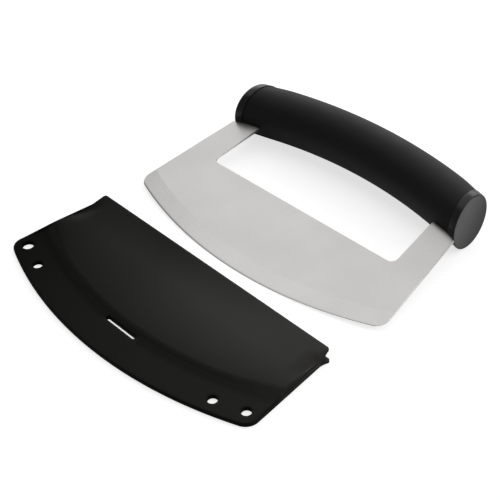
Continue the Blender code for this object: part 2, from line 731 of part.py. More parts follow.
def make_side_walls(frame):
    """The walls that close the pocket along the guard's straight sides, blended into the fold."""
    fold_start = guard_side_y(FOLD_RADIUS - GUARD_SIDE_FOLD_RUN)
    fold_end = guard_side_y(FOLD_RADIUS)
    wall_end = fold_start + (fold_end - fold_start) * WALL_END_SHARE
    end_height = GUARD_POCKET_TOP - GUARD_POCKET_RISE * WALL_END_SHARE
    stations = [
        (-GUARD_WALL_SETBACK, GUARD_POCKET_TOP + lip_rise(-GUARD_WALL_SETBACK)),
        (-GUARD_THROAT_DEPTH, GUARD_POCKET_TOP + lip_rise(-GUARD_THROAT_DEPTH)),
        (fold_start, GUARD_POCKET_TOP),
        (wall_end, end_height),
    ]
    walls = []
    for name, sign in (("left_side_wall", -1), ("right_side_wall", 1)):
        rings = []
        for y, underside in stations:
            outer = sign * (guard_side_x(y) + OVERCUT)
            inner = sign * (guard_side_x(y) - GUARD_PLATE)
            top = underside + GUARD_PLATE / 2
            rings.append(
                [
                    (outer, y, GUARD_FLANGE_TOP),
                    (outer, y, top),
                    (inner, y, top),
                    (inner, y, GUARD_FLANGE_TOP),
                ]
            )
        walls.append(loft(name, rings, frame))
    return walls


def make_guard_upper(frame, cuts, plastic):
    """The upper plate: a stepped sheet with side walls, cut to the guard's outline."""
    rows = upper_sheet_rows()
    bm = bmesh.new()
    bmesh.ops.create_grid(bm, x_segments=SHEET_COLUMNS, y_segments=len(rows) - 1, size=0.5)
    half_width = GUARD_CORNER_HALF + OVERCUT
    for vert in bm.verts:
        row = round((0.5 - vert.co.y) * (len(rows) - 1))
        x = 2 * half_width * vert.co.x
        place, height = rows[row]
        vert.co = (x, place(x), height)
    mesh = bpy.data.meshes.new("guard_upper_shell")
    bm.to_mesh(mesh)
    bm.free()
    shell = add_object("guard_upper_shell", mesh, frame, plastic)
    solid = shell.modifiers.new("thickness", "SOLIDIFY")
    solid.thickness = GUARD_PLATE
    solid.offset = 1.0
    solid.use_even_offset = True
    for wall in make_side_walls(frame):
        boolean(shell, "UNION", wall)
    blank = flat_plate("guard_blank", guard_outline(False), 2 * GUARD_CUT_HEIGHT, 0.0, frame)
    boolean(shell, "INTERSECT", blank)
    for cut in cuts:
        boolean(shell, "DIFFERENCE", cut)


def make_guard_lower(frame, cuts, plastic):
    outline = guard_outline(True)
    shell = flat_plate("guard_lower_shell", outline, GUARD_PLATE, GUARD_PLATE / 2, frame, plastic)
    for cut in cuts:
        boolean(shell, "DIFFERENCE", cut)


def tool_tilt():
    """The slope at which the middle of the cutting edge and both caps' rims touch the surface."""
    reach = math.hypot(BLADE_DEPTH, EDGE_THICKNESS / 2)
    return math.asin(CAP_RADIUS / reach) - math.atan(EDGE_THICKNESS / 2 / BLADE_DEPTH)


def settle_origin(origin):
    """Moves the whole object so that the middle of its box's underside is the world's origin."""
    bpy.context.view_layer.update()
    graph = bpy.context.evaluated_depsgraph_get()
    corners = []
    for thing in parts.objects:
        if thing.type != "MESH":
            continue
        evaluated = thing.evaluated_get(graph)
        mesh = evaluated.to_mesh()
        corners += [evaluated.matrix_world @ vert.co for vert in mesh.vertices]
        evaluated.to_mesh_clear()
    low = [min(corner[axis] for corner in corners) for axis in range(3)]
    high = [max(corner[axis] for corner in corners) for axis in range(3)]
    origin.location = (-(low[0] + high[0]) / 2, -(low[1] + high[1]) / 2, -low[2])


def make_tool(origin):
    frame = add_frame("tool_frame", origin)
    frame.location = (0.0, 0.0, CAP_RADIUS)
    frame.rotation_euler = (tool_tilt(), 0.0, 0.0)
    steel = new_material("satin_steel", (0.55, 0.54, 0.53), 0.35, 1.0)
    soft = new_material("soft_grip", (0.012, 0.012, 0.012), 0.65, 0.0)
    gloss = new_material("gloss_black", (0.012, 0.012, 0.012), 0.25, 0.0)
    plastic = new_material("core_plastic", (0.03, 0.03, 0.03), 0.5, 0.0)
    fastener = new_material("fastener_steel", (0.5, 0.5, 0.5), 0.3, 1.0)
    slots = make_tang_slots(frame)
    make_blade(frame, steel)
    drills = make_screw_drills(frame)
    make_core_half("handle_core_upper", 1, frame, slots, drills, plastic)
    make_core_half("handle_core_lower", -1, frame, slots, drills, plastic)
    make_sleeve(frame, slots, soft)
    make_cap("left_end_cap", -1, frame, slots[0], gloss)
    make_cap("right_end_cap", 1, frame, slots[1], gloss)
    for name, place in pin_places():
        make_pin(name, place, frame, fastener)
    for name, place in screw_places():
        make_screw(name, place, frame, fastener)


def make_guard(origin):
    frame = add_frame("guard_frame", origin)
    mouth = -BLADE_DEPTH * math.cos(tool_tilt()) - GUARD_STANDOFF
    frame.location = (GUARD_SHIFT, mouth, 0.0)
    frame.rotation_euler = (0.0, 0.0, GUARD_YAW)
    plastic = new_material("guard_plastic", (0.013, 0.012, 0.011), 0.42, 0.0)
    cuts = make_guard_holes(frame)
    make_guard_upper(frame, cuts, plastic)
    make_guard_lower(frame, cuts, plastic)


for thing in list(bpy.data.objects):
    bpy.data.objects.remove(thing)
parts = new_collection("mezzaluna")
cutters = new_collection("cutters")
whole = add_frame("mezzaluna_origin")
make_tool(whole)
make_guard(whole)
settle_origin(whole)
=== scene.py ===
"""Looks for the mezzaluna and its blade guard: detailed pieces, materials, floor, light and camera.

The pieces are modelled in the tool's own frame (X along the handle, -Y towards the cutting edge, Z
square to the blade) or in the guard's own frame (X along the mouth, -Y towards the curved edge), and
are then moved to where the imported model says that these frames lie.
"""

import json
import math

import bmesh
import bpy
from mathutils import Matrix, Quaternion, Vector
from mathutils.geometry import delaunay_2d_cdt


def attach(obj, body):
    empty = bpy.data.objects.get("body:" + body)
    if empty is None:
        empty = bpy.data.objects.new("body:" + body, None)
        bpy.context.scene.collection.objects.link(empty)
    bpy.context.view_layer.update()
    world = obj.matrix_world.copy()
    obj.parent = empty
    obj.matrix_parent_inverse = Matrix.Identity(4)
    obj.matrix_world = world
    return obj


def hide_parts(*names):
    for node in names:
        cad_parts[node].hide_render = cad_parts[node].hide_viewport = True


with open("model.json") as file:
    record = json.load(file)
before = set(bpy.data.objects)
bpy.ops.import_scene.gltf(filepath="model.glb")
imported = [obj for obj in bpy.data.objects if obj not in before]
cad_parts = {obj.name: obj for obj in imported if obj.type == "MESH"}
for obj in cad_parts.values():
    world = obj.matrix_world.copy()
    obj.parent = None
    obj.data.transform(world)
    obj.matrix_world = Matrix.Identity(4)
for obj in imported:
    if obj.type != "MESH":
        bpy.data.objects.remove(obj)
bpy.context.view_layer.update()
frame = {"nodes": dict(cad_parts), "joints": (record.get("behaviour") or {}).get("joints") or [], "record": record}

MM = 0.001

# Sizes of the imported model, which the pieces here repeat
SEAT_GAP = 0.3 * MM
BLADE_THICKNESS = 1.5 * MM
BLADE_DEPTH = 97.5 * MM
BLADE_CORNER_HALF = 90.0 * MM
BLADE_CORNER_ROUND = 7.0 * MM
EDGE_RADIUS = 249.0 * MM
EDGE_CENTRE_Y = EDGE_RADIUS - BLADE_DEPTH
EDGE_THICKNESS = 0.3 * MM
GRIND_WIDTH = 10.0 * MM
ARM_ROOT_HALF = 78.7 * MM
WINDOW_ROOT_HALF = 62.8 * MM
WINDOW_FLOOR_HALF = 66.6 * MM
WINDOW_FLOOR_DEPTH = 46.0 * MM
WINDOW_CORNER_ROUND = 3.8 * MM
TANG_WIDTH = 10.4 * MM
TANG_REACH = 8.8 * MM
SHOULDER_DEPTH = 1.2 * MM
SHOULDER_REVEAL = 1.0 * MM
SHOULDER_RAMP = 0.6 * MM
PIN_RADIUS = 1.5 * MM
PIN_SPACING = 11.0 * MM
HANDLE_ARC_RADIUS = 299.0 * MM
HANDLE_HALF_SPAN = 79.2 * MM
GRIP_HALF_SPAN = 74.4 * MM
GRIP_RADIUS = 14.85 * MM
GRIP_WALL = 2.2 * MM
GRIP_END_BLEND = 14.0 * MM
CAP_RADIUS = 15.25 * MM
CAP_LEAN = math.radians(4.6)
CAP_BAND = 4.3 * MM
CAP_RIM_ROUND = 0.5 * MM
GUARD_PLATE = 1.1 * MM
GUARD_POCKET_RISE = 1.8 * MM
GUARD_EDGE_RADIUS = 243.0 * MM
GUARD_CENTRE_Y = 165.1 * MM
GUARD_CORNER_HALF = 94.2 * MM
GUARD_CORNER_ROUND = 7.5 * MM
GUARD_THROAT_COVER = 2.0 * MM
GUARD_THROAT_DEPTH = 8.5 * MM
GUARD_POCKET_DEPTH = 59.1 * MM
GUARD_SIDE_COVER = 2.2 * MM
GUARD_WALL_SETBACK = 6.5 * MM
GUARD_LOWER_SETBACK = 2.0 * MM
GUARD_EAR_FLARE = 1.0 * MM
GUARD_EAR_ROUND = 1.8 * MM
FOLD_RADIUS = 224.2 * MM
GUARD_SIDE_FOLD_RUN = 8.0 * MM
GUARD_EVEN_FOLD_HALF = 55.0 * MM
HANG_HOLE_RADIUS = 3.1 * MM
PLAIN_HOLE_RADIUS = 2.6 * MM
HOLE_MARGIN = 7.8 * MM
HOLE_INSET = 8.1 * MM
HOLE_SPACING = 16.9 * MM
SLOT_LENGTH = 22.3 * MM
SLOT_WIDTH = 2.0 * MM

# Where the record's mounts lie, along Y in the tool's frame and in the guard's
BLADE_FACE_Y = -66.0 * MM
GUARD_UNDERSIDE_Y = -35.0 * MM

# Forms that only the looks have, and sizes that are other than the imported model's
BLADE_RIM_ROUND = 0.14 * MM
GUARD_RIM_ROUND = 0.4 * MM
GUARD_LOWER_RIM_ROUND = 0.15 * MM
UNDERSIDE_ROUND_SHARE = 0.2
GUARD_SHELL_GAP = 0.05 * MM
GUARD_FOLD_RUN = 6.0 * MM
GUARD_LIP_LENGTH = 20.0 * MM
GUARD_LIP_RISE = 1.8 * MM
GUARD_SIDE_SLOPE_WIDTH = 10.0 * MM
GUARD_SIDE_DROP = 1.9 * MM
GUARD_SIDE_DROP_START = 31.0 * MM
GUARD_SIDE_DROP_PEAK = 12.0 * MM
GUARD_SIDE_DROP_END = 4.0 * MM
FACE_RADIUS = 14.6 * MM
FACE_STEP = 0.06 * MM
FACE_MIDDLE_RADIUS = 0.02 * MM
BAND_ROUND = 0.2 * MM
BAND_REACH = 0.35 * MM
GRIP_END_ROUND = 0.2 * MM

# Fineness of the meshes
RIM_STEPS = 3
SHARP_RIM_ROWS = (1, 2)
EDGE_STEPS = 60
CORNER_STEPS = 12
HOLE_SIDES = 40
GRIP_SIDES = 96
GRIP_STATIONS = 72
GRIP_SHARP_ANGLE = math.radians(35)
CAP_SIDES = 96
CAP_SHARP_ANGLE = math.radians(40)
ROUND_STEPS = 6
SLOT_OVERCUT = 3.0 * MM
SHEET_GRID = 1.6 * MM
SPOT_MARGIN = SHEET_GRID / 3
GRIND_LINE_MARGIN = 0.05 * MM
GUARD_GRID_DEPTH = 90.0 * MM
FOLD_CLEARANCE = 1.5 * MM
FOLD_LINES = 11
FOLD_LINE_START = 1.0 * MM
FOLD_LINE_STEP = 0.5 * MM
FOLD_LINE_PARTS = 130
SWEEP_START = -math.pi * 0.65
SWEEP_END = -math.pi * 0.35
WALL_SLOPE = 0.6
ENCLOSED_ONLY = 1
SAME_POINT = 1e-5

# The middle of a noise's range, which is spread over the whole of what it drives
NOISE_SPAN = (0.3, 0.7)
EVEN = (1.0, 1.0, 1.0)

# How fine each material's unevenness is, in cells to the millimetre, and how deep and strong its grain
STEEL_BROAD_SCALE = 0.035
STEEL_SCRATCH_DEPTH = 0.01 * MM
PLASTIC_BROAD_SCALE = 0.06
PLASTIC_BUMP = 0.35
GUARD_BROAD_SCALE = 0.03
GUARD_GRAIN_SCALE = 2.2
GUARD_GRAIN_DEPTH = 0.012 * MM

# Painted shade on the steel: darker towards the left end and along the arms, and a painted dark line
# at the very edge, standing for the contact shadow that it mirrors, which fades towards the right
EDGE_LINE = 1.1 * MM
LEFT_SPAN = (-85.0 * MM, -20.0 * MM)
ARM_SPAN = (25.0 * MM, 60.0 * MM)
EDGE_FADE_SPAN = (-60.0 * MM, 75.0 * MM)
EDGE_FADE = 0.15

# How much the grip mirrors, from low to high on it: less low down, as painted shade of the shadowed floor below it
GRIP_GLOSS = (0.0, 0.37)
GRIP_GLOSS_HEIGHTS = (7.0 * MM, 17.0 * MM)

# Painted light on the guard's plastic: its colour and mirroring brighten from left to right, over the fold
# and towards the mouth, as a painted reflection of the lamps
GUARD_SPAN = (-85.0 * MM, 95.0 * MM)
MOUTH_SPAN = (-25.0 * MM, 95.0 * MM)
GUARD_FLANGE_SHARES = (0.0, 0.24)
GUARD_FOLD_SHARES = (0.02, 0.06)
GUARD_MOUTH_SHARES = (0.18, 0.88)
FOLD_REACH = (FOLD_RADIUS - 3.0 * MM, FOLD_RADIUS + 1.0 * MM)
MOUTH_REACH = (180.0 * MM, FOLD_RADIUS - 2.0 * MM)
CREST_REACH = (FOLD_RADIUS - 7.0 * MM, FOLD_RADIUS - 3.5 * MM)
FOOT_REACH = (FOLD_RADIUS - 3.5 * MM, FOLD_RADIUS - 1.0 * MM)
SLOPE_SHARE = 0.14
GUARD_UNEVENNESS = (0.96, 1.04)
GUARD_SHADED_COLOUR = (0.0048, 0.0045, 0.0039, 1.0)
GUARD_LIT_COLOUR = (0.0142, 0.0132, 0.0114, 1.0)
GUARD_GLOSS = (0.02, 0.42)
GUARD_ROUGHNESS = (0.36, 0.44)
GUARD_IOR = 1.38

# Camera, floor and light; each lamp's name, place, target, width, height and power
CAMERA_PLACE = (0.411257, -0.367428, 0.45756)
CAMERA_LOOK = (-0.57188, 0.51374, -0.63955)
CAMERA_ROLL = math.radians(-3.778)
CAMERA_LENS = 97.99
CAMERA_CLIP = (0.01, 50.0)
SENSOR_WIDTH = 36.0
FLOOR_HALF = 6.0
FLOOR_SQUARES = 8
FLOOR_DROP = 0.02 * MM
FLOOR_COLOUR = (0.6, 0.6, 0.6, 1.0)
FLOOR_ROUGHNESS = 0.8
FLOOR_SEEN = 0.7
FLOOR_MIRRORED = 0.34
WORLD_SEEN = 1.0
WORLD_MIRRORED = 0.32
WORLD_LEVEL = 0.15
WHITE = (1.0, 1.0, 1.0, 1.0)
LAMPS = (
    ("overhead", (-0.40, 0.45, 1.2), (-0.40, 0.45, 0.0), 2.8, 1.5, 10.2),
    ("back_left", (-0.75, 1.15, 0.55), (0.0, 0.0, 0.0), 1.6, 0.8, 7.0),
    ("back_right", (1.0, 0.8, 0.55), (0.0, 0.0, 0.0), 0.8, 0.6, 6.0),
)


# Frames

def frame_matrices():
    """The tool's and the guard's frames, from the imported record's mounts and joint."""
    mounts = {mount["name"]: mount for mount in frame["record"]["mounts"]}
    face = mounts["blade_face"]
    tilt = math.atan2(-face["axis"][1], face["axis"][2])
    turn = Matrix.Rotation(tilt, 4, "X")
    place = Vector(face["pos_m"]) - turn @ Vector((0.0, BLADE_FACE_Y, BLADE_THICKNESS / 2))
    tool = Matrix.Translation(place) @ turn
    slide = frame["joints"][0]["axis"]
    turn = Matrix.Rotation(math.atan2(slide[0], -slide[1]), 4, "Z")
    place = Vector(mounts["guard_underside"]["pos_m"]) - turn @ Vector((0.0, GUARD_UNDERSIDE_Y, 0.0))
    guard = Matrix.Translation(place) @ turn
    return tool, guard


TOOL, GUARD = frame_matrices()


# Meshes

def add_piece(name, mesh, place, body, replaced, materials):
    """A piece of the object, which stands for the CAD nodes named in replaced."""
    mesh.transform(place)
    for material in materials:
        mesh.materials.append(material)
    piece = bpy.data.objects.new(name, mesh)
    bpy.context.scene.collection.objects.link(piece)
    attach(piece, body)
    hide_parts(*replaced)


def arc(centre, radius, start, end, steps):
    """Points on an arc, both ends included, from the angle start to the angle end."""
    points = []
    for step in range(steps + 1):
        angle = start + (end - start) * step / steps
        x = centre[0] + radius * math.cos(angle)
        points.append(Vector((x, centre[1] + radius * math.sin(angle))))
    return points


def angle_to(centre, point):
    return math.atan2(point[1] - centre[1], point[0] - centre[0])


def smooth_step(share):
    share = min(max(share, 0.0), 1.0)
    return share * share * (3 - 2 * share)


def offset_loop(loop, inset):
    """A closed loop moved to its left by the distance inset."""
    moved = []
    for index, here in enumerate(loop):
        before = loop[index - 1]
        after = loop[(index + 1) % len(loop)]
        one = (here - before).normalized()
        two = (after - here).normalized()
        first = Vector((-one.y, one.x))
        second = Vector((-two.y, two.x))
        moved.append(here + (first + second) * inset / (1 + first.dot(second)))
    return moved


def within(point, loop):
    inside = False
    x, y = point
    for one, two in zip(loop, loop[1:] + loop[:1]):
        if (one[1] > y) != (two[1] > y):
            if x < one[0] + (y - one[1]) / (two[1] - one[1]) * (two[0] - one[0]):
                inside = not inside
    return inside


def rim_profile(rounding, thickness):
    """How far each row of the rim lies inside the outline, and how high it lies, from -1, the
    underside, to 1, the top. The underside is rounded less than the top."""
    under = rounding * UNDERSIDE_ROUND_SHARE
    rows = [(rounding, -1.0), (under, -1.0), (0.0, -1 + 2 * under / thickness)]
    for step in range(RIM_STEPS, -1, -1):
        angle = math.pi / 2 * step / RIM_STEPS
        inset = rounding * (1 - math.sin(angle))
        level = 1 - 2 * rounding * (1 - math.cos(angle)) / thickness
        rows.append((inset, level))
    return rows


def sheet_mesh(name, loops, creases, spots, height, rounding, thickness, smooth):
    """A sheet whose rims are rounded and have the second material. The first loop is the outline,
    counter-clockwise, and the others are its holes, clockwise. Creases are lines, and spots are points,
    that the mesh runs through. height gives Z from x, y and the level, -1 underside to 1 top."""
    inner = [offset_loop(loop, rounding) for loop in loops]
    points = []
    lines = []
    for loop in inner:
        start = len(points)
        points += loop
        lines += [(start + k, start + (k + 1) % len(loop)) for k in range(len(loop))]
    for crease in creases:
        start = len(points)
        points += crease
        lines += [(start + k, start + k + 1) for k in range(len(crease) - 1)]
    clear = [offset_loop(loop, rounding + SPOT_MARGIN) for loop in loops]
    for spot in spots:
        if within(spot, clear[0]) and not any(within(spot, hole) for hole in clear[1:]):
            points.append(Vector(spot))
    scaled = [point / MM for point in points]
    flat, _, triangles, origins, _, _ = delaunay_2d_cdt(
        scaled, lines, [], ENCLOSED_ONLY, SAME_POINT, True
    )
    made = {}
    for index, sources in enumerate(origins):
        for source in sources:
            made[source] = index
    bm = bmesh.new()
    rims = []
    for side in (1, -1):
        verts = [bm.verts.new((*(p * MM), height(p.x * MM, p.y * MM, side))) for p in flat]
        for triangle in triangles:
            middle = sum((flat[k] for k in triangle), Vector((0.0, 0.0))) / 3 * MM
            if not within(middle, inner[0]) or any(within(middle, hole) for hole in inner[1:]):
                continue
            order = triangle if side > 0 else list(reversed(triangle))
            face = bm.faces.new([verts[k] for k in order])
            face.smooth = smooth
        rims.append(verts)
    start = 0
    profile = rim_profile(rounding, thickness)
    for loop in loops:
        count = len(loop)
        rows = [[rims[1][made[start + k]] for k in range(count)]]
        for inset, level in profile[1:-1]:
            ring = offset_loop(loop, inset)
            rows.append([bm.verts.new((*p, height(p.x, p.y, level))) for p in ring])
        rows.append([rims[0][made[start + k]] for k in range(count)])
        for number, (row, following) in enumerate(zip(rows, rows[1:])):
            for k in range(count):
                after = (k + 1) % count
                face = bm.faces.new((row[k], row[after], following[after], following[k]))
                face.smooth = True
                face.material_index = 1
                if number in SHARP_RIM_ROWS:
                    bm.edges.get((row[k], row[after])).smooth = False
        start += count
    loose = [vert for vert in bm.verts if not vert.link_faces]
    bmesh.ops.delete(bm, geom=loose, context="VERTS")
    mesh = bpy.data.meshes.new(name)
    bm.to_mesh(mesh)
    bm.free()
    return mesh


def loft_mesh(name, rings, joined_ends=False):
    """A skin through rings that have equally many points, closed at its ends or joined to itself."""
    bm = bmesh.new()
    rows = [[bm.verts.new(point) for point in ring] for ring in rings]
    pairs = list(zip(rows, rows[1:]))
    if joined_ends:
        pairs.append((rows[-1], rows[0]))
    for row, following in pairs:
        for here in range(len(row)):
            beside = (here + 1) % len(row)
            bm.faces.new((row[here], row[beside], following[beside], following[here]))
    if not joined_ends:
        bm.faces.new(rows[0])
        bm.faces.new(rows[-1])
    bmesh.ops.recalc_face_normals(bm, faces=bm.faces)
    mesh = bpy.data.meshes.new(name)
    bm.to_mesh(mesh)
    bm.free()
    return mesh


def cut_with(mesh, cutters):
    """The mesh with each cutter's mesh taken out of it."""
    thing = bpy.data.objects.new("cut_body", mesh)
    bpy.context.scene.collection.objects.link(thing)
    tools = []
    for number, cutter in enumerate(cutters):
        tool = bpy.data.objects.new(f"cutter_{number}", cutter)
        bpy.context.scene.collection.objects.link(tool)
        modifier = thing.modifiers.new(tool.name, "BOOLEAN")
        modifier.operation = "DIFFERENCE"
        modifier.object = tool
        tools.append(tool)
    graph = bpy.context.evaluated_depsgraph_get()
    result = bpy.data.meshes.new_from_object(thing.evaluated_get(graph))
    for one in [thing] + tools:
        bpy.data.objects.remove(one)
    return result


# Outlines

def crossing(first, second, third, fourth):
    """Where the line through the first two points meets the line through the last two."""
    one = Vector(second) - Vector(first)
    two = Vector(fourth) - Vector(third)
    gap = Vector(third) - Vector(first)
    share = (gap.x * two.y - gap.y * two.x) / (one.x * two.y - one.y * two.x)
    return Vector(first) + one * share


def outer_corner(corner, upper, centre_y, radius, rounding):
    """The angle at which a curved edge ends, and the round from there to the straight side that runs
    from the corner to upper."""
    side = Vector((upper[0] - corner[0], upper[1] - corner[1])).normalized()
    inward = Vector((-side.y, side.x))
    base = Vector(corner) + inward * rounding - Vector((0.0, centre_y))
    reach = radius - rounding
    along = base.dot(side)
    root = math.sqrt(along * along - base.length_squared + reach * reach)
    run = min(-along + root, -along - root, key=abs)
    middle = Vector((0.0, centre_y)) + base + side * run
    start = angle_to((0.0, centre_y), middle)
    end = math.atan2(-inward.y, -inward.x)
    return start, arc(middle, rounding, start, end, CORNER_STEPS)


def inner_corner(before, corner, after, rounding):
    towards = (Vector(before) - Vector(corner)).normalized()
    onwards = (Vector(after) - Vector(corner)).normalized()
    half = towards.angle(onwards) / 2
    middle = Vector(corner) + (towards + onwards).normalized() * rounding / math.sin(half)
    start = Vector(corner) + towards * rounding / math.tan(half)
    end = Vector(corner) + onwards * rounding / math.tan(half)
    first = angle_to(middle, start)
    turn = (angle_to(middle, end) - first + math.pi) % (2 * math.pi) - math.pi
    return arc(middle, rounding, first, first + turn, CORNER_STEPS)


def both_halves(right):
    """A whole loop from its right half, whose first and last points lie on the middle line."""
    left = [Vector((-point.x, point.y)) for point in reversed(right[1:-1])]
    return right + left


def hole_loop(centre, radius):
    return arc(centre, radius, 0.0, -2 * math.pi, HOLE_SIDES)[:-1]


def axis_rise(x):
    """How far the handle's bowed axis lies above the line between its two ends."""
    chord = math.sqrt(HANDLE_ARC_RADIUS**2 - HANDLE_HALF_SPAN**2)
    return math.sqrt(HANDLE_ARC_RADIUS**2 - x * x) - chord


def window_side(across):
    """Two points on a line along the right arm, at the distance across from the window's side."""
    side = Vector((WINDOW_FLOOR_HALF - WINDOW_ROOT_HALF, -WINDOW_FLOOR_DEPTH)).normalized()
    outwards = Vector((-side.y, side.x)) * across
    root = Vector((WINDOW_ROOT_HALF, 0.0)) + outwards
    return root, Vector((WINDOW_FLOOR_HALF, -WINDOW_FLOOR_DEPTH)) + outwards


def tang_middle(across):
    """A point on the right tang's middle line, at the distance across from the handle's axis."""
    root, floor = window_side(TANG_WIDTH / 2)
    level = axis_rise(root.x) + across
    return crossing(root, floor, (0.0, level), (1.0, level))


def tang_outline(clearance, lower):
    top = tang_middle(TANG_REACH).y + clearance
    inner = window_side(-clearance)
    outer = window_side(TANG_WIDTH + clearance)
    places = ((inner, lower), (outer, lower), (outer, top), (inner, top))
    return [crossing(*side, (0.0, level), (1.0, level)) for side, level in places]


def handle_side(x, across):
    """A point in the blade's plane on the blade's side of the handle."""
    lean = CAP_LEAN * x / HANDLE_HALF_SPAN
    return Vector((x + across * math.sin(lean), axis_rise(x) - across * math.cos(lean)))


def shoulder_points(clearance):
    """The right arm's shoulder, which dips into the handle beside the tang."""
    start = HANDLE_HALF_SPAN - SHOULDER_REVEAL + clearance
    deep = CAP_RADIUS - SHOULDER_DEPTH - clearance
    outside = handle_side(start, CAP_RADIUS + SEAT_GAP)
    inside = handle_side(start - SHOULDER_RAMP, deep)
    armpit = crossing(*window_side(TANG_WIDTH + clearance), inside, handle_side(GRIP_HALF_SPAN, deep))
    return [outside, inside, armpit]


def slot_outline():
    """The right arm's slot in the handle, round the tang and the shoulder and open to the blade."""
    tang = tang_outline(SEAT_GAP, -GRIP_RADIUS - SLOT_OVERCUT)
    start = HANDLE_HALF_SPAN - SHOULDER_REVEAL + SEAT_GAP
    mouth = handle_side(start, CAP_RADIUS + SLOT_OVERCUT)
    return [tang[0], mouth] + shoulder_points(SEAT_GAP) + [tang[2], tang[3]]


def blade_outline():
    corner_y = EDGE_CENTRE_Y - math.sqrt(EDGE_RADIUS**2 - BLADE_CORNER_HALF**2)
    corner = (BLADE_CORNER_HALF, corner_y)
    upper = (ARM_ROOT_HALF, 0.0)
    start, rounding = outer_corner(corner, upper, EDGE_CENTRE_Y, EDGE_RADIUS, BLADE_CORNER_ROUND)
    edge = arc((0.0, EDGE_CENTRE_Y), EDGE_RADIUS, -math.pi / 2, start, EDGE_STEPS)
    shoulder = shoulder_points(0.0)
    rim = handle_side(HANDLE_HALF_SPAN, CAP_RADIUS + SEAT_GAP)
    top = crossing(corner, upper, rim, shoulder[0])
    tang = tang_outline(0.0, 0.0)
    floor = (WINDOW_FLOOR_HALF, -WINDOW_FLOOR_DEPTH)
    window = inner_corner(tang[3], floor, (0.0, -WINDOW_FLOOR_DEPTH), WINDOW_CORNER_ROUND)
    right = edge[:-1] + rounding + [top] + shoulder + [tang[2], tang[3]]
    return both_halves(right + window + [Vector((0.0, -WINDOW_FLOOR_DEPTH))])


# Materials

def new_material(name):
    material = bpy.data.materials.new(name)
    material.use_nodes = True
    return material, material.node_tree, material.node_tree.nodes["Principled BSDF"]


def noise_node(tree, coordinates, stretch, scale, detail=3.0, roughness=0.55):
    """Noise in object space, in cells a millimetre wide at scale 1."""
    mapping = tree.nodes.new("ShaderNodeMapping")
    mapping.inputs["Scale"].default_value = [part / MM for part in stretch]
    tree.links.new(coordinates, mapping.inputs["Vector"])
    noise = tree.nodes.new("ShaderNodeTexNoise")
    noise.inputs["Scale"].default_value = scale
    noise.inputs["Detail"].default_value = detail
    noise.inputs["Roughness"].default_value = roughness
    tree.links.new(mapping.outputs["Vector"], noise.inputs["Vector"])
    return noise.outputs["Fac"]


def range_node(tree, source, target, span=NOISE_SPAN):
    """What runs from one end of target to the other while source runs through span."""
    node = tree.nodes.new("ShaderNodeMapRange")
    node.inputs["From Min"].default_value = span[0]
    node.inputs["From Max"].default_value = span[1]
    node.inputs["To Min"].default_value = target[0]
    node.inputs["To Max"].default_value = target[1]
    tree.links.new(source, node.inputs["Value"])
    return node.outputs["Result"]


def math_node(tree, operation, first, second):
    node = tree.nodes.new("ShaderNodeMath")
    node.operation = operation
    for value, socket in zip((first, second), node.inputs):
        if isinstance(value, bpy.types.NodeSocket):
            tree.links.new(value, socket)
        else:
            socket.default_value = value
    return node.outputs["Value"]


def place_nodes(tree):
    """The place on the object, as a vector and as its X, Y and Z."""
    coordinates = tree.nodes.new("ShaderNodeTexCoord").outputs["Object"]
    parts = tree.nodes.new("ShaderNodeSeparateXYZ")
    tree.links.new(coordinates, parts.inputs["Vector"])
    return coordinates, parts.outputs


def distance_node(tree, coordinates, centre):
    node = tree.nodes.new("ShaderNodeVectorMath")
    node.operation = "DISTANCE"
    node.inputs[1].default_value = centre
    tree.links.new(coordinates, node.inputs[0])
    return node.outputs["Value"]


def colour_mix(tree, source, dark, light):
    ramp = tree.nodes.new("ShaderNodeValToRGB")
    ramp.color_ramp.elements[0].position = NOISE_SPAN[0]
    ramp.color_ramp.elements[0].color = (*dark, 1.0)
    ramp.color_ramp.elements[1].position = NOISE_SPAN[1]
    ramp.color_ramp.elements[1].color = (*light, 1.0)
    tree.links.new(source, ramp.inputs["Fac"])
    return ramp.outputs["Color"]


def add_bump(tree, shader, source, strength, distance):
    bump = tree.nodes.new("ShaderNodeBump")
    bump.inputs["Strength"].default_value = strength
    bump.inputs["Distance"].default_value = distance
    tree.links.new(source, bump.inputs["Height"])
    tree.links.new(bump.outputs["Normal"], shader.inputs["Normal"])


def path_strength(tree, seen, mirrored):
    """The strength of a glow: seen by the camera, mirrored or refracted by an object, else none."""
    path = tree.nodes.new("ShaderNodeLightPath").outputs
    bounced = math_node(tree, "MAXIMUM", path["Is Glossy Ray"], path["Is Transmission Ray"])
    bounced = math_node(tree, "MULTIPLY", bounced, mirrored)
    direct = math_node(tree, "MULTIPLY", path["Is Camera Ray"], seen)
    return math_node(tree, "MAXIMUM", direct, bounced)


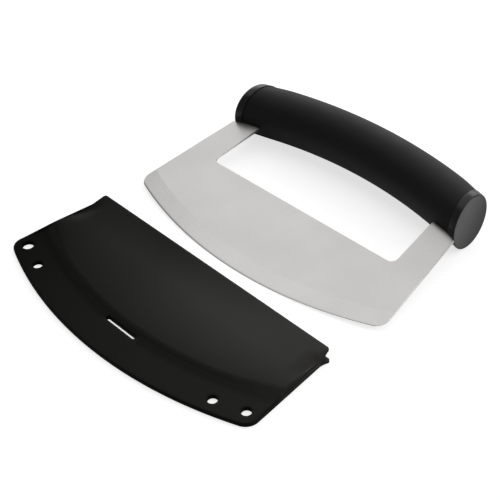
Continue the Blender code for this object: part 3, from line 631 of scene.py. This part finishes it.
def steel_material(name, dark, light, roughness, grain, grain_scale, shares=EVEN, bump=0.12):
    """Ground steel, with fine scratches along one direction. The shares are what its brightness keeps under
    the painted shade at the left end, along the arms and at the very edge."""
    material, tree, shader = new_material(name)
    coordinates, place = place_nodes(tree)
    fine = noise_node(tree, coordinates, grain, grain_scale, detail=4.0, roughness=0.7)
    broad = noise_node(tree, coordinates, EVEN, STEEL_BROAD_SCALE, detail=2.0)
    shader.inputs["Metallic"].default_value = 1.0
    left_share, arm_share, edge_share = shares
    # Painted shade: darker towards the left end and along the arms
    left = range_node(tree, place["X"], (left_share, 1.0), LEFT_SPAN)
    arms = range_node(tree, place["Y"], (1.0, arm_share), ARM_SPAN)
    share = math_node(tree, "MULTIPLY", left, arms)
    # Painted shade: a dark line along the very edge, fading towards the right
    across = distance_node(tree, coordinates, TOOL @ Vector((0.0, EDGE_CENTRE_Y, 0.0)))
    lost = 1.0 - edge_share
    loss = range_node(tree, place["X"], (lost, EDGE_FADE * lost), EDGE_FADE_SPAN)
    near = range_node(tree, across, (0.0, 1.0), (EDGE_RADIUS - EDGE_LINE, EDGE_RADIUS))
    kept = range_node(tree, math_node(tree, "MULTIPLY", loss, near), (1.0, 0.0), (0.0, 1.0))
    share = math_node(tree, "MULTIPLY", share, kept)
    tint = tree.nodes.new("ShaderNodeVectorMath")
    tint.operation = "SCALE"
    tree.links.new(colour_mix(tree, broad, dark, light), tint.inputs["Vector"])
    tree.links.new(share, tint.inputs["Scale"])
    tree.links.new(tint.outputs["Vector"], shader.inputs["Base Color"])
    tree.links.new(range_node(tree, fine, roughness), shader.inputs["Roughness"])
    add_bump(tree, shader, fine, bump, STEEL_SCRATCH_DEPTH)
    return material


def plastic_material(name, dark, light, roughness, grain_size, grain_depth, ior):
    """Moulded plastic or rubber with a fine grain and slightly uneven gloss."""
    material, tree, shader = new_material(name)
    coordinates, _ = place_nodes(tree)
    grain = noise_node(tree, coordinates, EVEN, 1.0 / (grain_size / MM), detail=2.0)
    broad = noise_node(tree, coordinates, EVEN, PLASTIC_BROAD_SCALE)
    tree.links.new(colour_mix(tree, broad, dark, light), shader.inputs["Base Color"])
    tree.links.new(range_node(tree, broad, roughness), shader.inputs["Roughness"])
    shader.inputs["IOR"].default_value = ior
    add_bump(tree, shader, grain, PLASTIC_BUMP, grain_depth)
    return material


def grip_material():
    """Soft rubber, which mirrors less towards its underside, as painted shade of the shadowed floor below it."""
    material = plastic_material(
        "soft_grip",
        dark=(0.0068, 0.0068, 0.0068),
        light=(0.0084, 0.0084, 0.0084),
        roughness=(0.5, 0.58),
        grain_size=0.35 * MM,
        grain_depth=0.02 * MM,
        ior=1.3,
    )
    tree = material.node_tree
    _, place = place_nodes(tree)
    # Painted shade: less mirroring low down on the grip
    level = range_node(tree, place["Z"], GRIP_GLOSS, GRIP_GLOSS_HEIGHTS)
    tree.links.new(level, tree.nodes["Principled BSDF"].inputs["Specular IOR Level"])
    return material


def guard_material(name, gloss):
    """Moulded plastic with painted light: colour and mirroring are lowest along the flange and brighten towards
    the mouth and the guard's right end, as a painted reflection of the lamps. gloss scales how much it mirrors."""
    material, tree, shader = new_material(name)
    coordinates, place = place_nodes(tree)
    broad = noise_node(tree, coordinates, EVEN, GUARD_BROAD_SCALE, detail=2.0)
    grain = noise_node(tree, coordinates, EVEN, GUARD_GRAIN_SCALE, detail=2.0)
    reach = distance_node(tree, coordinates, GUARD @ Vector((0.0, GUARD_CENTRE_Y, 0.0)))
    # The share is painted light: brighter to the right, along the fold, on the fold's slope and towards the mouth
    share = range_node(tree, place["X"], GUARD_FLANGE_SHARES, GUARD_SPAN)
    for shares, span, reaches in (
        (GUARD_FOLD_SHARES, GUARD_SPAN, FOLD_REACH),
        (GUARD_MOUTH_SHARES, MOUTH_SPAN, MOUTH_REACH),
    ):
        gain = range_node(tree, place["X"], shares, span)
        there = range_node(tree, reach, (1.0, 0.0), reaches)
        share = math_node(tree, "ADD", share, math_node(tree, "MULTIPLY", gain, there))
    foot = range_node(tree, reach, (SLOPE_SHARE, 0.0), FOOT_REACH)
    crest = range_node(tree, reach, (0.0, 1.0), CREST_REACH)
    share = math_node(tree, "ADD", share, math_node(tree, "MULTIPLY", foot, crest))
    share = math_node(tree, "MULTIPLY", share, range_node(tree, broad, GUARD_UNEVENNESS))
    # Painted light: the colour runs from the shaded to the lit end with the share
    ramp = tree.nodes.new("ShaderNodeValToRGB")
    ramp.color_ramp.elements[0].color = GUARD_SHADED_COLOUR
    ramp.color_ramp.elements[1].color = GUARD_LIT_COLOUR
    tree.links.new(share, ramp.inputs["Fac"])
    tree.links.new(ramp.outputs["Color"], shader.inputs["Base Color"])
    mirror = range_node(tree, share, [level * gloss for level in GUARD_GLOSS], (0.0, 1.0))
    tree.links.new(mirror, shader.inputs["Specular IOR Level"])
    tree.links.new(range_node(tree, broad, GUARD_ROUGHNESS), shader.inputs["Roughness"])
    shader.inputs["IOR"].default_value = GUARD_IOR
    add_bump(tree, shader, grain, PLASTIC_BUMP, GUARD_GRAIN_DEPTH)
    return material


# Blade

def blade_height(x, y, level):
    """Half the blade's thickness above or below its middle plane, thinning over the bevel."""
    across = math.hypot(x, y - EDGE_CENTRE_Y) - (EDGE_RADIUS - GRIND_WIDTH)
    share = min(max(across / GRIND_WIDTH, 0.0), 1.0)
    return level * (BLADE_THICKNESS + (EDGE_THICKNESS - BLADE_THICKNESS) * share) / 2


def make_blade():
    # Painted shade: the shares darken the flat steel towards the left end and along the arms, and the bevel's
    # towards the left end
    flat_steel = steel_material(
        "blade_steel",
        dark=(0.505, 0.498, 0.488),
        light=(0.54, 0.532, 0.523),
        roughness=(0.27, 0.36),
        grain=(0.03, 1.0, 1.0),
        grain_scale=5.0,
        shares=(0.95, 0.93, 1.0),
    )
    # Painted shade: the bevel's last share paints the dark line along the very edge
    ground_steel = steel_material(
        "ground_steel",
        dark=(0.53, 0.525, 0.518),
        light=(0.565, 0.56, 0.55),
        roughness=(0.24, 0.33),
        grain=(1.0, 0.05, 1.0),
        grain_scale=5.0,
        shares=(0.8, 1.0, 0.1),
        bump=0.05,
    )
    # A much brighter steel as painted light: the side walls stand for the lit floor that they mirror
    side_painted_light = steel_material(
        "side_painted_light",
        dark=(0.86, 0.85, 0.84),
        light=(0.9, 0.89, 0.88),
        roughness=(0.35, 0.45),
        grain=(1.0, 1.0, 0.1),
        grain_scale=4.0,
    )
    # A near-black steel as painted shade: the cutting edge's wall stands for the contact shadow that it mirrors
    edge_painted_shade = steel_material(
        "edge_painted_shade",
        dark=(0.05, 0.05, 0.05),
        light=(0.07, 0.07, 0.07),
        roughness=(0.4, 0.5),
        grain=(1.0, 1.0, 0.1),
        grain_scale=4.0,
    )
    outline = blade_outline()
    loops = [outline]
    for across in (-PIN_SPACING / 2, PIN_SPACING / 2):
        place = tang_middle(across)
        for sign in (-1, 1):
            loops.append(hole_loop((sign * place.x, place.y), PIN_RADIUS + SEAT_GAP))
    clear = offset_loop(outline, BLADE_RIM_ROUND + GRIND_LINE_MARGIN)
    reach = EDGE_RADIUS - GRIND_WIDTH
    line = arc((0.0, EDGE_CENTRE_Y), reach, SWEEP_START, SWEEP_END, 4 * EDGE_STEPS)
    line = [point for point in line if within(point, clear)]
    mesh = sheet_mesh(
        "blade_visual", loops, [line], [], blade_height, BLADE_RIM_ROUND, BLADE_THICKNESS, False
    )
    for face in mesh.polygons:
        middle = face.center
        across = math.hypot(middle.x, middle.y - EDGE_CENTRE_Y)
        face.material_index = 1 if across > reach else 0
        # Walls at the cutting edge get the painted dark edge, the other walls the painted bright steel
        if abs(face.normal.z) < WALL_SLOPE:
            face.material_index = 2 if across > EDGE_RADIUS - BLADE_RIM_ROUND else 3
    add_piece(
        "blade_visual", mesh, TOOL, "mezzaluna", ["blade"],
        [flat_steel, ground_steel, edge_painted_shade, side_painted_light],
    )


# Handle

def handle_ring(x, radius, sides):
    """A ring of the bowed handle at x. Its plane leans more towards the ends, up to the caps' lean, and
    along the grip it is stretched so that the handle stays round across its own axis."""
    lean = CAP_LEAN * x / HANDLE_HALF_SPAN
    slope = math.asin(x / HANDLE_ARC_RADIUS)
    blend = smooth_step((abs(x) - GRIP_HALF_SPAN + GRIP_END_BLEND) / GRIP_END_BLEND)
    depth = radius * (blend + (1 - blend) / math.cos(lean + slope))
    points = []
    for side in range(sides):
        angle = 2 * math.pi * side / sides
        across = depth * math.cos(angle)
        height = radius * math.sin(angle)
        points.append((x - across * math.sin(lean), axis_rise(x) + across * math.cos(lean), height))
    return points


def plate_mesh(outline, thickness):
    """A plain plate, used as a cutter."""
    rings = [[(p.x, p.y, level) for p in outline] for level in (-thickness / 2, thickness / 2)]
    return loft_mesh("plate", rings)


def slot_plate(sign):
    """A cutter for the slot of the left arm, -1, or the right one, 1."""
    outline = [Vector((sign * point.x, point.y)) for point in slot_outline()]
    return plate_mesh(outline, BLADE_THICKNESS + 2 * SEAT_GAP)


def make_grip():
    ends = []
    for step in range(ROUND_STEPS):
        angle = math.pi / 2 * step / ROUND_STEPS
        back = GRIP_END_ROUND * (1 - math.cos(angle))
        ends.append((GRIP_HALF_SPAN - back, GRIP_RADIUS - GRIP_END_ROUND * (1 - math.sin(angle))))
    span = GRIP_HALF_SPAN - GRIP_END_ROUND
    places = [(-x, radius) for x, radius in ends]
    places += [(span * (2 * k / GRIP_STATIONS - 1), GRIP_RADIUS) for k in range(GRIP_STATIONS + 1)]
    places += reversed(ends)
    inner = GRIP_RADIUS - GRIP_WALL
    for k in range(GRIP_STATIONS + 1):
        places.append((GRIP_HALF_SPAN * (1 - 2 * k / GRIP_STATIONS), inner))
    rings = [handle_ring(x, radius, GRIP_SIDES) for x, radius in places]
    mesh = loft_mesh("grip_visual", rings, joined_ends=True)
    mesh = cut_with(mesh, [slot_plate(-1), slot_plate(1)])
    mesh.shade_smooth()
    mesh.set_sharp_from_angle(angle=GRIP_SHARP_ANGLE)
    add_piece(
        "grip_visual", mesh, TOOL, "mezzaluna", ["grip_sleeve"], [grip_material()]
    )


def make_cap(name, sign, gloss, face_finish):
    """A closed cap: the band, rounded at both rims, and the face, which lies a little lower than its
    rim. The last faces of the mesh are the face's ring, the inner end and the face's middle."""
    band = HANDLE_HALF_SPAN - CAP_BAND - BAND_REACH
    places = [(band, FACE_MIDDLE_RADIUS)]
    for step in range(ROUND_STEPS + 1):
        angle = math.pi / 2 * step / ROUND_STEPS
        radius = CAP_RADIUS - BAND_ROUND * (1 - math.sin(angle))
        places.append((band + BAND_ROUND * (1 - math.cos(angle)), radius))
    for step in range(ROUND_STEPS + 1):
        angle = math.pi / 2 * step / ROUND_STEPS
        back = CAP_RIM_ROUND * (1 - math.sin(angle))
        radius = CAP_RADIUS - CAP_RIM_ROUND * (1 - math.cos(angle))
        places.append((HANDLE_HALF_SPAN - back, radius))
    places.append((HANDLE_HALF_SPAN, FACE_RADIUS))
    places.append((HANDLE_HALF_SPAN - FACE_STEP, FACE_RADIUS - 2 * FACE_STEP))
    places.append((HANDLE_HALF_SPAN - FACE_STEP, FACE_MIDDLE_RADIUS))
    mesh = loft_mesh(name, [handle_ring(sign * x, radius, CAP_SIDES) for x, radius in places])
    mesh.materials.append(gloss)
    mesh.materials.append(face_finish)
    for face in mesh.polygons[-CAP_SIDES - 2:-2]:
        face.material_index = 1
    mesh.polygons[-1].material_index = 1
    mesh = cut_with(mesh, [slot_plate(sign)])
    mesh.shade_smooth()
    mesh.set_sharp_from_angle(angle=CAP_SHARP_ANGLE)
    add_piece(name + "_visual", mesh, TOOL, "mezzaluna", [name], [])


def make_caps():
    gloss = plastic_material(
        "cap_gloss",
        dark=(0.003, 0.003, 0.003),
        light=(0.004, 0.004, 0.004),
        roughness=(0.2, 0.28),
        grain_size=1.2 * MM,
        grain_depth=0.004 * MM,
        ior=1.38,
    )
    face_finish = plastic_material(
        "cap_face",
        dark=(0.0222, 0.0222, 0.021),
        light=(0.0262, 0.0262, 0.025),
        roughness=(0.36, 0.44),
        grain_size=0.4 * MM,
        grain_depth=0.012 * MM,
        ior=1.47,
    )
    make_cap("left_end_cap", -1, gloss, face_finish)
    make_cap("right_end_cap", 1, gloss, face_finish)


# Guard

def guard_curve_y(x, radius):
    return GUARD_CENTRE_Y - math.sqrt(radius * radius - x * x)


def guard_throat_half():
    """Half the throat's width, a little over the blade's where the mouth lies once the guard is on."""
    corner_y = EDGE_CENTRE_Y - math.sqrt(EDGE_RADIUS**2 - BLADE_CORNER_HALF**2)
    lean = (BLADE_CORNER_HALF - ARM_ROOT_HALF) / -corner_y
    return ARM_ROOT_HALF + lean * (BLADE_DEPTH - GUARD_POCKET_DEPTH) + GUARD_THROAT_COVER


def guard_side_x(y):
    """The X of the guard's straight right side at y."""
    corner_y = guard_curve_y(GUARD_CORNER_HALF, GUARD_EDGE_RADIUS)
    throat = guard_throat_half() + GUARD_SIDE_COVER
    share = min((y - corner_y) / (-GUARD_THROAT_DEPTH - corner_y), 1.0)
    return GUARD_CORNER_HALF + (throat - GUARD_CORNER_HALF) * share


def guard_outline(lower):
    """The outline of the upper plate or of the lower one, which starts further back at the mouth."""
    corner = (GUARD_CORNER_HALF, guard_curve_y(GUARD_CORNER_HALF, GUARD_EDGE_RADIUS))
    throat = Vector((guard_throat_half() + GUARD_SIDE_COVER, -GUARD_THROAT_DEPTH))
    start, rounding = outer_corner(
        corner, throat, GUARD_CENTRE_Y, GUARD_EDGE_RADIUS, GUARD_CORNER_ROUND
    )
    edge = arc((0.0, GUARD_CENTRE_Y), GUARD_EDGE_RADIUS, -math.pi / 2, start, EDGE_STEPS)
    setback = GUARD_LOWER_SETBACK if lower else 0.0
    root = throat.x if lower else guard_throat_half()
    ear = Vector((root + GUARD_EAR_FLARE, -setback - GUARD_EAR_ROUND))
    side = [throat]
    if lower:
        for step in range(1, ROUND_STEPS):
            share = step / ROUND_STEPS
            y = throat.y + (ear.y - throat.y) * share
            side.append(Vector((root + GUARD_EAR_FLARE * share * share, y)))
    tip = arc((ear.x - GUARD_EAR_ROUND, ear.y), GUARD_EAR_ROUND, 0.0, math.pi / 2, CORNER_STEPS)
    return both_halves(edge[:-1] + rounding + side + tip + [Vector((0.0, -setback))])


def guard_holes():
    outer = GUARD_CORNER_HALF - HOLE_INSET
    inner = outer - HOLE_SPACING
    loops = []
    for x, radius in (
        (-outer, HANG_HOLE_RADIUS),
        (-inner, PLAIN_HOLE_RADIUS),
        (inner, PLAIN_HOLE_RADIUS),
        (outer, PLAIN_HOLE_RADIUS),
    ):
        loops.append(hole_loop((x, guard_curve_y(x, GUARD_EDGE_RADIUS - HOLE_MARGIN)), radius))
    half = SLOT_LENGTH / 2 - SLOT_WIDTH / 2
    y = guard_curve_y(0.0, FOLD_RADIUS)
    slot = arc((half, y), SLOT_WIDTH / 2, math.pi / 2, -math.pi / 2, CORNER_STEPS)
    slot += arc((-half, y), SLOT_WIDTH / 2, -math.pi / 2, -3 * math.pi / 2, CORNER_STEPS)
    loops.append(slot)
    return loops


def guard_side_drop(x, y):
    """How much lower the upper plate lies at x, y because it slopes down towards the sides."""
    if -y > GUARD_SIDE_DROP_PEAK:
        along = (GUARD_SIDE_DROP_START + y) / (GUARD_SIDE_DROP_START - GUARD_SIDE_DROP_PEAK)
    else:
        along = (-y - GUARD_SIDE_DROP_END) / (GUARD_SIDE_DROP_PEAK - GUARD_SIDE_DROP_END)
    inwards = (guard_side_x(y) - abs(x)) / GUARD_SIDE_SLOPE_WIDTH
    return GUARD_SIDE_DROP * smooth_step(along) * (1 - smooth_step(inwards))


def guard_upper_height(x, y, level):
    """The upper plate: flat over the blade, stepped down along the fold, turned up at the mouth and
    closed down to the lower plate at the sides, towards which it slopes down."""
    flange = GUARD_PLATE + GUARD_SHELL_GAP
    side = smooth_step((abs(x) - GUARD_EVEN_FOLD_HALF) / (GUARD_CORNER_HALF - GUARD_EVEN_FOLD_HALF))
    run = GUARD_FOLD_RUN + (GUARD_SIDE_FOLD_RUN - GUARD_FOLD_RUN) * side
    across = math.hypot(x, y - GUARD_CENTRE_Y) - (FOLD_RADIUS - run)
    rise = GUARD_POCKET_RISE * (1 - smooth_step(across / run))
    lip = max(0.0, 1 + y / GUARD_LIP_LENGTH)
    underside = flange + rise + GUARD_LIP_RISE * lip * lip - guard_side_drop(x, y)
    top = underside + GUARD_PLATE
    if y < -GUARD_WALL_SETBACK and abs(x) > guard_side_x(y) - GUARD_PLATE:
        underside = flange
    return underside + (top - underside) * (level + 1) / 2


def guard_lower_height(x, y, level):
    return GUARD_PLATE * (level + 1) / 2


def guard_spots():
    """Points that the upper plate's mesh runs through: a grid, and closer arcs along the fold."""
    spots = []
    columns = math.ceil(2 * GUARD_CORNER_HALF / SHEET_GRID)
    rows = math.ceil(GUARD_GRID_DEPTH / SHEET_GRID)
    for column in range(columns + 1):
        for row in range(rows):
            x = -GUARD_CORNER_HALF + column * SHEET_GRID
            y = -(row + 0.5 * (column % 2)) * SHEET_GRID
            across = math.hypot(x, y - GUARD_CENTRE_Y) - FOLD_RADIUS
            if not -GUARD_FOLD_RUN - FOLD_CLEARANCE < across < FOLD_CLEARANCE:
                spots.append((x, y))
    for step in range(FOLD_LINES):
        radius = FOLD_RADIUS - GUARD_FOLD_RUN - FOLD_LINE_START + step * FOLD_LINE_STEP
        line = arc((0.0, GUARD_CENTRE_Y), radius, SWEEP_START, SWEEP_END, FOLD_LINE_PARTS)
        spots += [tuple(point) for point in line]
    return spots


def make_guard():
    # The rims use a copy that mirrors half as much, as painted shade along the rounded edges
    materials = [guard_material("guard_plastic", 1.0), guard_material("guard_rim", 0.5)]
    holes = guard_holes()
    upper = sheet_mesh(
        "guard_upper_visual", [guard_outline(False)] + holes, [], guard_spots(),
        guard_upper_height, GUARD_RIM_ROUND, GUARD_PLATE, True,
    )
    add_piece(
        "guard_upper_visual", upper, GUARD, "guard", ["guard_upper_shell"],
        materials,
    )
    lower = sheet_mesh(
        "guard_lower_visual", [guard_outline(True)] + holes, [], [],
        guard_lower_height, GUARD_LOWER_RIM_ROUND, GUARD_PLATE, False,
    )
    add_piece(
        "guard_lower_visual", lower, GUARD, "guard", ["guard_lower_shell"],
        materials,
    )


# Floor, light and camera

def make_floor():
    bm = bmesh.new()
    bmesh.ops.create_grid(
        bm, x_segments=FLOOR_SQUARES, y_segments=FLOOR_SQUARES, size=FLOOR_HALF
    )
    mesh = bpy.data.meshes.new("floor")
    bm.to_mesh(mesh)
    bm.free()
    floor = bpy.data.objects.new("floor", mesh)
    bpy.context.scene.collection.objects.link(floor)
    floor.location = (0.0, 0.0, -FLOOR_DROP)
    material, tree, shader = new_material("floor_white")
    shader.inputs["Base Color"].default_value = FLOOR_COLOUR
    shader.inputs["Roughness"].default_value = FLOOR_ROUGHNESS
    shader.inputs["Specular IOR Level"].default_value = 0.0
    shader.inputs["Emission Color"].default_value = WHITE
    glow = path_strength(tree, FLOOR_SEEN, FLOOR_MIRRORED)
    tree.links.new(glow, shader.inputs["Emission Strength"])
    mesh.materials.append(material)


def make_lamp(name, place, target, width, height, power):
    lamp = bpy.data.lights.new(name, "AREA")
    lamp.shape = "RECTANGLE"
    lamp.size = width
    lamp.size_y = height
    lamp.energy = power
    thing = bpy.data.objects.new(name, lamp)
    thing.location = place
    towards = Vector(target) - Vector(place)
    thing.rotation_mode = "QUATERNION"
    thing.rotation_quaternion = towards.to_track_quat("-Z", "Y")
    bpy.context.scene.collection.objects.link(thing)


def make_light():
    world = bpy.data.worlds.new("studio")
    world.use_nodes = True
    tree = world.node_tree
    background = tree.nodes["Background"]
    background.inputs["Color"].default_value = WHITE
    glow = path_strength(tree, WORLD_SEEN, WORLD_MIRRORED)
    glow = math_node(tree, "MAXIMUM", glow, WORLD_LEVEL)
    tree.links.new(glow, background.inputs["Strength"])
    bpy.context.scene.world = world
    for lamp in LAMPS:
        make_lamp(*lamp)


def make_camera():
    camera = bpy.data.cameras.new("camera")
    camera.lens = CAMERA_LENS
    camera.sensor_width = SENSOR_WIDTH
    camera.clip_start, camera.clip_end = CAMERA_CLIP
    thing = bpy.data.objects.new("camera", camera)
    thing.location = CAMERA_PLACE
    thing.rotation_mode = "QUATERNION"
    level = Vector(CAMERA_LOOK).to_track_quat("-Z", "Y")
    thing.rotation_quaternion = level @ Quaternion((0.0, 0.0, 1.0), CAMERA_ROLL)
    bpy.context.scene.collection.objects.link(thing)
    bpy.context.scene.camera = thing


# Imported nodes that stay

def finish_hidden_nodes():
    """Better materials for the core halves, the pins and the screws."""
    core = plastic_material(
        "core_plastic",
        dark=(0.03, 0.03, 0.03),
        light=(0.036, 0.036, 0.036),
        roughness=(0.45, 0.55),
        grain_size=0.5 * MM,
        grain_depth=0.01 * MM,
        ior=1.47,
    )
    fastener = steel_material(
        "fastener_steel",
        dark=(0.5, 0.5, 0.5),
        light=(0.56, 0.56, 0.56),
        roughness=(0.25, 0.35),
        grain=(1.0, 1.0, 0.1),
        grain_scale=4.0,
    )
    for name, node in frame["nodes"].items():
        if "core_" in name and "screw" not in name:
            finish = core
        elif name.endswith("_pin") or name.endswith("_screw"):
            finish = fastener
        else:
            continue
        for slot in node.material_slots:
            slot.material = finish


make_blade()
make_grip()
make_caps()
make_guard()
finish_hidden_nodes()
make_floor()
make_light()
make_camera()
bpy.context.scene.view_settings.view_transform = "Standard"
